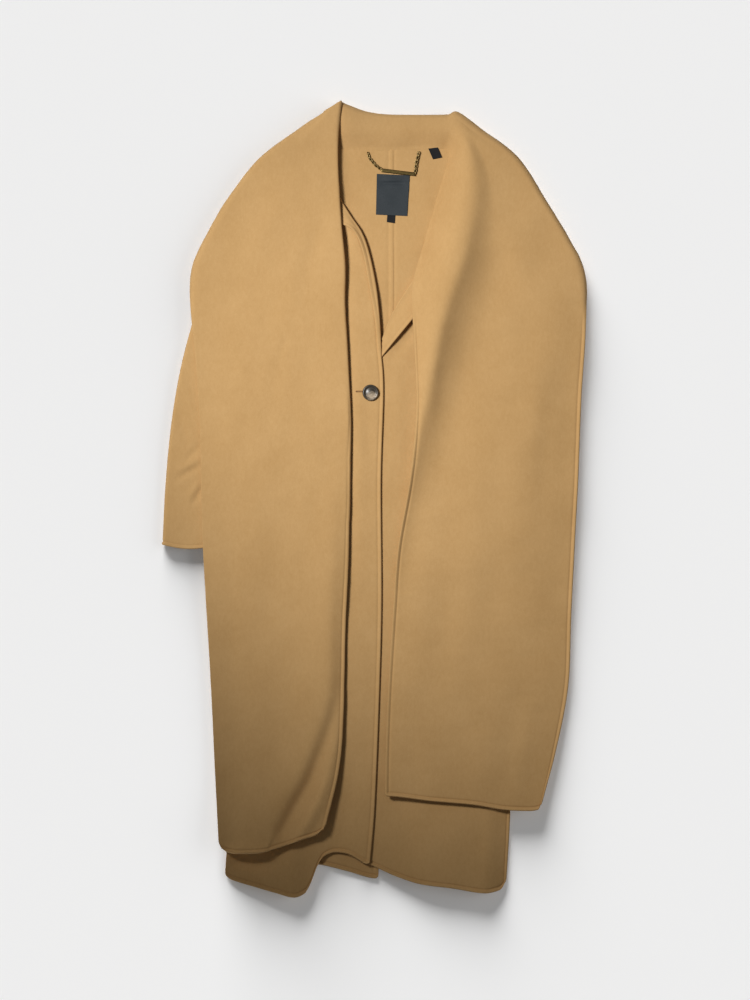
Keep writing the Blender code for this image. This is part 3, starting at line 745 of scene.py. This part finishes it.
def respaced(sections, step):
    """Sections read again at places spaced by length across them, close together at both edges."""
    sections = np.array(sections)
    runs = [run_along(points) for points in sections]
    want = spaced(max(run[-1] for run in runs), step)
    spread = []
    for points, run in zip(sections, runs):
        spread.append(np.stack([np.interp(want * run[-1], run, points[:, k]) for k in range(3)], axis=1))
    return np.array(spread)


ACROSS_FALL = 60
SCARF_LEFT_STEP = 3.6
SCARF_LEFT_WAVES = (Wave(0.5, 110, 31), Wave(0.12, 30, 32))
LEFT_STITCH_Y = 240.0
LEFT_STITCH_FADE = 120.0
sections = []
for row in lengthwise(SCARF_LEFT, SCARF_LEFT_STEP):
    r = Fall(*row)
    outer = np.array([r.out_x, r.out_y])
    inner = np.array([r.in_x, r.in_y])
    line = (inner - outer) / np.linalg.norm(inner - outer)
    start = outer + line * reach(r.out_curl, r.out_r)
    end = inner - line * reach(r.in_curl, r.in_r)
    u = np.linspace(0, 1, ACROSS_FALL)
    z = across(FALL_STATIONS, [(r.out, r.third, r.two_thirds, r.crest)], u)[0]
    flat_part = [np.append(start + (end - start) * k, h) for k, h in zip(u, z)]
    section = arc(start, -line, r.out, r.out_curl, r.out_r)[::-1] + flat_part
    sections.append(section + arc(end, line, r.crest, r.in_curl, r.in_r))
grid = to_hem(respaced(sections, SCARF_LEFT_STEP), HEM_SCARF_LEFT, HEM_SCARF_LEFT_SHARE)
grid = round_corners(grid, left=17, right=15)
relief = creased(grid, SCARF_LEFT_CREASES) + folded(grid, SCARF_LEFT_FOLDS)
relief += stepped(grid, SCARF_LEFT_TURN, TURN_LIFT) + waves(grid, *SCARF_LEFT_WAVES)
stitched = np.clip((LEFT_STITCH_Y - grid[:, :, 1]) / LEFT_STITCH_FADE, 0, 1)
made = shell("scarf_left_cloth", grid, relief, welts=("end", "right"), welt_share=stitched)
scarf_left = fitted(made, "scarf_left")

# The rest of the scarf, of the same wool: the stand sewn to the neck seam and folded over at the top, and the
# right fall, which rolls over the shoulder and lies down the right front with a soft ridge that dies away
# below the lapel.
Run = namedtuple("Run", "in_x in_y crest_x crest_y out_x out_y inner crest third two_thirds out curl radius")
SCARF_REST = [
    Run(-72, 559, -72, 606, -72, 624, 2.6, 13, 13, 12.5, 12, 170, 5),
    Run(-57, 559, -57, 613, -57, 638, 2.6, 22, 22, 21.7, 21, 170, 9.5),
    Run(-42, 559, -42, 609, -42, 632, 2.6, 22.5, 22.5, 22.2, 21.8, 172, 10),
    Run(-12, 559, -12, 602, -12, 621.5, 2.6, 18.6, 18.6, 18.4, 18, 175, 8.3),
    Run(28, 559, 28, 599, 28, 617, 2.6, 16.8, 16.8, 16.6, 16.2, 178, 7.4),
    Run(72, 560, 74, 599, 76, 616.6, 2.6, 17, 17, 16.8, 16.4, 178, 7.5),
    Run(100, 561.5, 108, 599, 117, 616.8, 2.6, 19.4, 19.4, 19.2, 18.8, 178, 8.7),
    Run(116, 562, 128, 599, 135, 620.6, 2.6, 23.4, 23.4, 23.2, 22.6, 178, 10.5),
    Run(120, 549, 146, 578, 177, 590, 2.8, 29, 28.6, 27.8, 26.4, 178, 12.4),
    Run(112, 522, 155, 540, 232, 546, 3.4, 31, 25, 24, 23, 178, 10.9),
    Run(97, 475, 153, 488, 274, 482, 3.6, 30, 23, 22.5, 22, 178, 10.4),
    Run(80, 414, 138, 424, 310, 423, 4.6, 28, 22, 22, 21, 176, 10),
    Run(61, 342, 118, 350, 337, 363, 19.5, 26, 21, 21.5, 19.5, 130, 9),
    Run(63, 264, 98, 264, 339, 280, 20.5, 23.5, 21, 21, 17, 30, 9),
    Run(68, 150, 96, 150, 332, 165, 15, 19, 21.5, 21, 14, 12, 9),
    Run(58, 36, 98, 36, 327, 40, 13, 18, 22, 21, 14, 10, 9),
    Run(38, -76, 96, -76, 321, -80, 12.5, 17.5, 22, 20, 13, 10, 9),
    Run(30, -176, 90, -176, 316, -180, 12.5, 16, 18.5, 16.5, 11, 10, 9),
    Run(22, -300, 82, -300, 311, -300, 12.5, 15, 16, 14.5, 10, 10, 9),
    Run(18, -400, 78, -400, 291, -402, 15, 16.5, 16.5, 15.5, 12, 10, 9),
    Run(17, -474, 74, -478, 268, -487, 23, 23, 21.5, 20, 17, 10, 9),
]
RUN_STATIONS = (0, 0.26, 0.5, 0.75, 1)
ACROSS_RUN = 80
HEM_SCARF_RIGHT = [
    Point(17, -474), Point(92, -482), Point(158, -488), Point(217, -497), Point(250, -498),
    Point(262, -496), Point(268, -488),
]
HEM_SCARF_RIGHT_SHARE = 0.3
SCARF_RIGHT_CREASES = [
    Crease(34, -152, 66, -153, 4, 0.8), Crease(40, 60, 76, 62, 5, -0.8),
    Crease(200, 470, 250, 330, 20, 0.9), Crease(150, 300, 130, 120, 16, -0.9),
    Crease(280, 180, 262, -60, 16, -0.9), Crease(230, 100, 215, -200, 24, 1.0),
    Crease(120, -60, 110, -330, 22, -0.9), Crease(250, -330, 225, -480, 14, 1.0),
    Crease(60, -380, 70, -470, 14, -0.7),
]


def run_section(row):
    """One section of the scarf: from its outer edge, round the curl and over the crest to its other edge."""
    r = Run(*row)
    inner = np.array([r.in_x, r.in_y])
    crest = np.array([r.crest_x, r.crest_y])
    outer = np.array([r.out_x, r.out_y])
    line = (outer - crest) / np.linalg.norm(outer - crest)
    end = outer - line * reach(r.curl, r.radius)
    knots = np.array([inner, crest, crest + (end - crest) / 3, crest + (end - crest) * 2 / 3, end])
    u = np.linspace(0, 1, ACROSS_RUN)
    z = across(RUN_STATIONS, [(r.inner, r.crest, r.third, r.two_thirds, r.out)], u)[0]
    rising = np.clip(u / RUN_STATIONS[1], 0, 1)
    steep = r.inner + (r.crest - r.inner) * np.sin(np.pi / 2 * rising)
    z = np.where(rising < 1, (z + steep) / 2, z)
    x = np.interp(u, RUN_STATIONS, knots[:, 0])
    y = np.interp(u, RUN_STATIONS, knots[:, 1])
    points = list(np.stack([x, y, z], axis=1))
    return arc(end, line, r.out, r.curl, r.radius)[::-1] + points[::-1]


RIDGE = [
    Drop(174, 560, 0, 18, 60, 100), Drop(171, 515, 3, 18, 60, 100), Drop(167, 480, 8, 18, 60, 100),
    Drop(158, 432, 16, 18, 60, 110), Drop(147, 384, 21, 19, 55, 110), Drop(125, 320, 26, 19, 50, 110),
    Drop(112, 272, 27, 17, 45, 110), Drop(101, 208, 26, 14, 40, 100), Drop(93, 160, 24, 12.5, 34, 90),
    Drop(82, 112, 22, 12, 30, 90), Drop(72, 64, 20, 12.5, 30, 90), Drop(63, 29, 18, 12, 30, 90),
    Drop(51, -8, 13, 8.5, 30, 80), Drop(43, -56, 10, 7.5, 30, 70), Drop(38, -96, 8, 6.5, 30, 60),
    Drop(31, -160, 5, 5, 20, 50), Drop(25, -240, 3, 4, 20, 50), Drop(22, -320, 0, 4, 20, 50),
]
RIDGE_LIFT = 0.2
NECK_SEAM = [Crease(-50, 561.5, 30, 561.5, 3.4, 0.9), Crease(34, 561.5, 112, 565, 3.4, 0.9)]
SCARF_RIGHT_WAVES = (Wave(0.5, 110, 41), Wave(0.12, 30, 42))
SCARF_REST_SAMPLES = 1200
SCARF_REST_STEP = 4
FALL_FROM_Y = 300.0
SEWN_FADE = 60.0
SEWN_FLAT = 2.0
SEWN_SOFT = 12.0
RIGHT_STITCH_Y = 310.0
RIGHT_STITCH_FADE = 60.0
numbers = np.linspace(0, len(SCARF_REST) - 1, SCARF_REST_SAMPLES)
run = run_along(smooth_rows(SCARF_REST, numbers)[:, 2:4])
rows = smooth_rows(SCARF_REST, np.interp(spaced(run[-1], SCARF_REST_STEP) * run[-1], run, numbers))
grid = respaced([run_section(row) for row in rows], SCARF_REST_STEP)
first = np.argmax(grid[:, grid.shape[1] // 2, 1] < FALL_FROM_Y)
grid[first:] = to_hem(grid[first:], HEM_SCARF_RIGHT, HEM_SCARF_RIGHT_SHARE)
grid = round_corners(grid, left=8, right=5)
relief = creased(grid, SCARF_RIGHT_CREASES) + stepped(grid, RIDGE, RIDGE_LIFT)
relief += waves(grid, *SCARF_RIGHT_WAVES)
sewn = np.clip((grid[:, :, 1] - FALL_FROM_Y) / SEWN_FADE, 0, 1)
from_seam = np.clip((rim_distance(grid, False, ("right",)) - SEWN_FLAT) / SEWN_SOFT, 0, 1)
relief *= 1 - sewn * (1 - from_seam)
relief += creased(grid, NECK_SEAM)
stitched = np.clip((RIGHT_STITCH_Y - grid[:, :, 1]) / RIGHT_STITCH_FADE, 0, 1)
made = shell("scarf_right_cloth", grid, relief, welts=("end", "left", "right"), up=-1, welt_share=stitched)
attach(made, "coat")
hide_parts("scarf_stand", "scarf_right")

# The labels: a dark woven satin label sewn inside the back neck with its top turned under, a small tab
# tucked under its lower edge, and another tab at the neck seam.
LABEL = 0.8
LABEL_LIFT = 0.15
BACK_TOP = BACK_HIGH + CLOTH / 2 + LAYER_GAP
LABEL_LOW = BACK_TOP + LABEL_LIFT
LABEL_DARK = (0.014, 0.018, 0.022, 1)
LABEL_LIGHT = (0.05, 0.062, 0.072, 1)
TAB_DARK = (0.002, 0.002, 0.003, 1)
TAB_LIGHT = (0.01, 0.01, 0.012, 1)
SATIN_STRETCH = (0.3, 1.0, 1.0)
SATIN = Grain(2400.0, 1.0, 1.0)
LABEL_CREASES = [Crease(12, 508, 46, 509, 2.4, -0.9), Crease(14, 513, 44, 514, 3, 0.7)]
LABEL_WAVE = Wave(0.18, 34, 51)
FOLD_LONG = 13.0
FOLD_HIGH = 0.5
FOLD_SOFT = 0.5
FOLD_DITCH = 0.35
FOLD_DITCH_WIDE = 1.2
TUCK_LONG = 3.6
TUCK_DEEP = 0.5
TUCK_SOFT = 0.4


def satin(name, dark, light):
    """Woven satin, with fine threads across it."""
    made, shader, place = surface(name, {"Roughness": 0.6, "Specular IOR Level": 0.2})
    thread = grained(place.node("ShaderNodeMapping", {"Vector": place, "Scale": SATIN_STRETCH}), SATIN)
    feed(shader, "Base Color", mixed(thread, dark, light))
    roughen(shader, thread, strength=0.3, distance=0.0003)
    return made


label_satin = satin("label_satin", LABEL_DARK, LABEL_LIGHT)
tab_satin = satin("tab_satin", TAB_DARK, TAB_LIGHT)


def patch(corners, low, high, count=48):
    """A flat cornered piece as a grid with round rims, its corners given from the upper left clockwise."""
    a, b, c, d = (np.array(p, float) for p in corners)
    u = np.sin(np.linspace(-np.pi / 2, np.pi / 2, count)) / 2 + 0.5
    top = a + (b - a) * u[:, None]
    foot = d + (c - d) * u[:, None]
    plan = top[None] * (1 - u)[:, None, None] + foot[None] * u[:, None, None]
    return np.dstack([plan, np.full((count, count), (low + high) / 2)])


for name, corners, cloth in (
    ("label_main", [(4, 523.4), (57, 521), (53, 455.6), (2.6, 458)], label_satin),
    ("label_size", [(21, 460), (34, 459.6), (33, 444), (20, 446)], tab_satin),
    ("label_care", [(86, 565.4), (101.6, 567.6), (108.8, 549.6), (94.2, 546.6)], tab_satin),
):
    grid = patch(corners, LABEL_LOW, LABEL_LOW + LABEL)
    below = corners[0][1] - grid[:, :, 1]
    relief = waves(grid, LABEL_WAVE) + creased(grid, LABEL_CREASES)
    if name == "label_main":
        relief += FOLD_HIGH / (1 + np.exp((below - FOLD_LONG) / FOLD_SOFT))
        relief -= FOLD_DITCH * np.exp(-(((below - FOLD_LONG) / FOLD_DITCH_WIDE - 1) ** 2))
    if name == "label_size":
        relief -= TUCK_DEEP / (1 + np.exp((below - TUCK_LONG) / TUCK_SOFT))
    made = shell(name + "_tape", grid, relief, wall=LABEL)
    made.data.materials[0] = cloth
    fitted(made, name)

# The hanger loop: an antique brass bar between two short lengths of fine chain, sewn in at the neck seam.
# It lies slack on the inside of the back.
LINK_LONG = 6.4
LINK_WIRE = 0.85
LINK_PITCH = 3.5
LINK_TILTS = (62, 20)
CHAIN_LIFT = 1.7
CHAIN_Z = BACK_TOP + CHAIN_LIFT
BAR_LIFT = 1.4
BAR_LOW = BACK_TOP + BAR_LIFT
BAR_THICK = 2.2
BAR_CORNERS = [(11, 532.2), (66, 525.4), (66, 519.4), (11, 526)]
TARNISH = Grain(420.0, 2.0, 1.0)


def antique_brass(name, dark, light):
    """Brass darkened in patches, with its worn places brighter."""
    made, shader, place = surface(name, {"Metallic": 1.0, "Roughness": 0.38})
    feed(shader, "Base Color", mixed(grained(place, TARNISH), dark, light))
    return made


chain_brass = antique_brass("antique_brass", (0.09, 0.062, 0.026, 1), (0.36, 0.265, 0.115, 1))
bar_brass = antique_brass("bar_brass", (0.05, 0.034, 0.012, 1), (0.2, 0.145, 0.055, 1))


def ring_mesh(path, radius, sides=8):
    """Points and faces of a round wire bent into a closed loop."""
    path = np.array(path, float)
    run = np.roll(path, -1, axis=0) - np.roll(path, 1, axis=0)
    run /= np.linalg.norm(run, axis=1)[:, None]
    out = path - path.mean(0)
    flat = np.cross(run, out)
    flat /= np.linalg.norm(flat, axis=1)[:, None]
    out = np.cross(flat, run)
    points, faces = [], []
    for i, (p, o, f) in enumerate(zip(path, out, flat)):
        for j in range(sides):
            angle = 2 * np.pi * j / sides
            points.append(p + radius * (o * np.cos(angle) + f * np.sin(angle)))
            k, n = (j + 1) % sides, (i + 1) % len(path)
            faces.append((i * sides + j, i * sides + k, n * sides + k, n * sides + j))
    return points, faces


def oval(centre, forward, aside, long, wide, count=16):
    """The line of a link: two straight sides and two round ends."""
    half = (long - wide) / 2
    points = []
    for k in range(count):
        angle = 2 * np.pi * (k + 0.5) / count
        push = half * np.sign(np.cos(angle)) + wide / 2 * np.cos(angle)
        points.append(centre + forward * push + aside * wide / 2 * np.sin(angle))
    return points


def chain(path, wide, lean):
    """The links of a chain along a path, turned by turns flat and on edge."""
    path = np.array(path, float)
    steps = run_along(path)
    count = max(2, round(steps[-1] / LINK_PITCH))
    points, faces = [], []
    for k in range(count):
        ends = [steps[-1] * (k + e) / count for e in (0.0, 0.5, 1.0)]
        back, centre, front = (np.array([np.interp(e, steps, path[:, n]) for n in range(3)]) for e in ends)
        forward = (front - back) / np.linalg.norm(front - back)
        level = np.cross([0, 0, 1], forward)
        tilt = lean * np.radians(LINK_TILTS[k % 2])
        aside = level * np.cos(tilt) + np.array([0, 0, 1]) * np.sin(tilt)
        line = oval(centre, forward, aside, LINK_LONG - LINK_WIRE, wide - 2 * LINK_WIRE)
        more, joins = ring_mesh(line, LINK_WIRE)
        faces += [tuple(v + len(points) for v in f) for f in joins]
        points += more
    return points, faces


for name, wide, lean, path in (
    ("loop_chain_left", 5.0, 1, [(-10.4, 557), (-8, 549), (2, 537), (13, 529)]),
    ("loop_chain_right", 6.2, -1, [(65, 523), (67.6, 541), (71.6, 558)]),
):
    points, faces = chain([(x, y, CHAIN_Z) for x, y in path], wide, lean)
    fitted(made_mesh(name + "_links", points, faces, chain_brass), name, body="hanger_loop")
bar = shell("loop_bar_plate", patch(BAR_CORNERS, BAR_LOW, BAR_LOW + BAR_THICK), wall=BAR_THICK)
bar.data.materials[0] = bar_brass
fitted(bar, "loop_bar", body="hanger_loop")

# The button: polished dark horn with a paler swirl, and a pale patch on its lower side that is a painted
# highlight;
# it has a raised rim and a domed middle. It is sewn to the right front and comes through a stitched
# buttonhole in the left one, whose end shows beside it.
BUTTON_X = -6.0
BUTTON_Y = 172.0
BUTTON_Z = 12.4
HORN_DARK = (0.045, 0.037, 0.027, 1)
# The pale colour serves both the horn's own swirl and a painted highlight.
HORN_PALE_AND_HIGHLIGHT = (0.46, 0.37, 0.27, 1)
PAINTED_HIGHLIGHT_PLACE = (-0.0045, 0.1672, 0.016)
PAINTED_HIGHLIGHT_REACH = 0.0095
PAINTED_HIGHLIGHT_FADE = 1.3
PALE_SWIRL = 2.6
horn, shader, place = surface("dark_horn", {"Roughness": 0.33, "Specular IOR Level": 0.5})
swirl = place.node("ShaderNodeTexNoise", {"Vector": place, "Scale": 130.0, "Detail": 4.0, "Distortion": 1.6})
gap = {"operation": "DISTANCE"}
# A pale patch at a fixed place on the lower side of the dished face is a painted highlight; the noise swirl
# mixed into it is the horn's own marbling.
spread = place.node("ShaderNodeVectorMath", {0: place, 1: PAINTED_HIGHLIGHT_PLACE}, gap, output="Value")
pale = (1.0 - spread / PAINTED_HIGHLIGHT_REACH) * PAINTED_HIGHLIGHT_FADE + (swirl - 0.5) * PALE_SWIRL
feed(shader, "Base Color", mixed(pale, HORN_DARK, HORN_PALE_AND_HIGHLIGHT))
Turn = namedtuple("Turn", "radius height")
BUTTON_PROFILE = [
    Turn(0.0, 0.0), Turn(9, 0.0), Turn(12.0, 0.7), Turn(13.0, 2.2), Turn(12.7, 3.6), Turn(11.8, 4.4),
    Turn(10.9, 4.5), Turn(9.8, 4.1), Turn(8.8, 3.2), Turn(8.0, 3.0), Turn(6.4, 3.5), Turn(4.4, 4.0),
    Turn(2.2, 4.3), Turn(0.0, 4.4),
]
SPOKES = 64
points, faces = [], []
for t in BUTTON_PROFILE:
    for k in range(SPOKES):
        angle = 2 * np.pi * k / SPOKES
        x = BUTTON_X + t.radius * np.cos(angle)
        y = BUTTON_Y + t.radius * np.sin(angle)
        points.append((x, y, BUTTON_Z + t.height))
for i in range(len(BUTTON_PROFILE) - 1):
    for k in range(SPOKES):
        n = (k + 1) % SPOKES
        faces.append((i * SPOKES + k, i * SPOKES + n, (i + 1) * SPOKES + n, (i + 1) * SPOKES + k))
fitted(made_mesh("button_horn", points, faces, horn), "button")
HOLE_PLACE = np.array([-24.0, 174.0, 11.9])
HOLE_LONG = 11.0
HOLE_WIDE = 1.5
HOLE_THREAD = 0.5
silk = surface("buttonhole_thread", {"Base Color": (0.2, 0.09, 0.035, 1), "Roughness": 0.8})[0]
line = oval(HOLE_PLACE, np.array([1, 0, 0]), np.array([0, 1, 0]), HOLE_LONG, HOLE_WIDE, count=32)
buttonhole = made_mesh("buttonhole_stitches", *ring_mesh(line, HOLE_THREAD), silk)
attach(buttonhole, "coat")

# The surface that the coat lies on: a wide pale matt sheet, a hair below the cloth, that keeps an even tone
# and takes the soft shadows.
FLOOR_HALF = 4000
FLOOR_Z = -0.5
floor_paint = surface("pale_floor", {
    "Base Color": (0.8, 0.8, 0.8, 1), "Roughness": 1.0, "Specular IOR Level": 0.0,
    "Emission Color": (1.0, 1.0, 1.0, 1), "Emission Strength": 0.1,
})[0]
corners = [(x * FLOOR_HALF, y * FLOOR_HALF, FLOOR_Z) for x, y in ((-1, -1), (1, -1), (1, 1), (-1, 1))]
floor = made_mesh("floor", corners, [(0, 1, 2, 3)], floor_paint)

# Soft studio light: a soft-edged lamp at the upper left for the coat, two broad soft lights for the floor
# alone, a weak even fill, and a camera straight above.
floor_only = bpy.data.collections.new("floor_only")
floor_only.objects.link(floor)
coat_only = bpy.data.collections.new("coat_only")
for item in bpy.context.scene.objects:
    if item.type == "MESH" and item != floor:
        coat_only.objects.link(item)


def lit(lamp, place, aim, only):
    """A lamp at a place, turned to an aim, that lights only one set of things."""
    item = bpy.data.objects.new(lamp.name, lamp)
    item.location = place
    item.rotation_euler = (Vector(aim) - Vector(place)).to_track_quat("-Z", "Y").to_euler()
    item.light_linking.receiver_collection = only
    bpy.context.scene.collection.objects.link(item)


key = bpy.data.lights.new("key", "SPOT")
key.energy = 200.0
key.color = (1.0, 0.98, 0.95)
key.spot_size = 0.856
key.spot_blend = 1.0
key.shadow_soft_size = 0.24
lit(key, place=(-0.95, 0.61, 1.84), aim=(0.18, 0.21, 0.0), only=coat_only)
broad = bpy.data.lights.new("broad", "SUN")
broad.energy = 12.4
broad.angle = 0.68
lit(broad, place=(-0.26, 0.87, 0.152), aim=(0.0, 0.0, 0.0), only=floor_only)
side_light = bpy.data.lights.new("side", "SUN")
side_light.energy = 1.4
side_light.angle = 0.9
lit(side_light, place=(1.0, 0.1, 0.3), aim=(0.0, 0.0, 0.0), only=floor_only)
sky = bpy.data.worlds.new("fill")
sky.use_nodes = True
sky.node_tree.nodes["Background"].inputs["Color"].default_value = (1.0, 0.98, 0.95, 1)
sky.node_tree.nodes["Background"].inputs["Strength"].default_value = 0.1
bpy.context.scene.world = sky
lens = bpy.data.cameras.new("camera")
lens.lens = 108.0
lens.sensor_width = 36.0
lens.clip_end = 50.0
camera = bpy.data.objects.new("camera", lens)
camera.location = (0.0006, 0.0014, 4.82)
bpy.context.scene.collection.objects.link(camera)
bpy.context.scene.camera = camera
bpy.context.scene.view_settings.view_transform = "Standard"
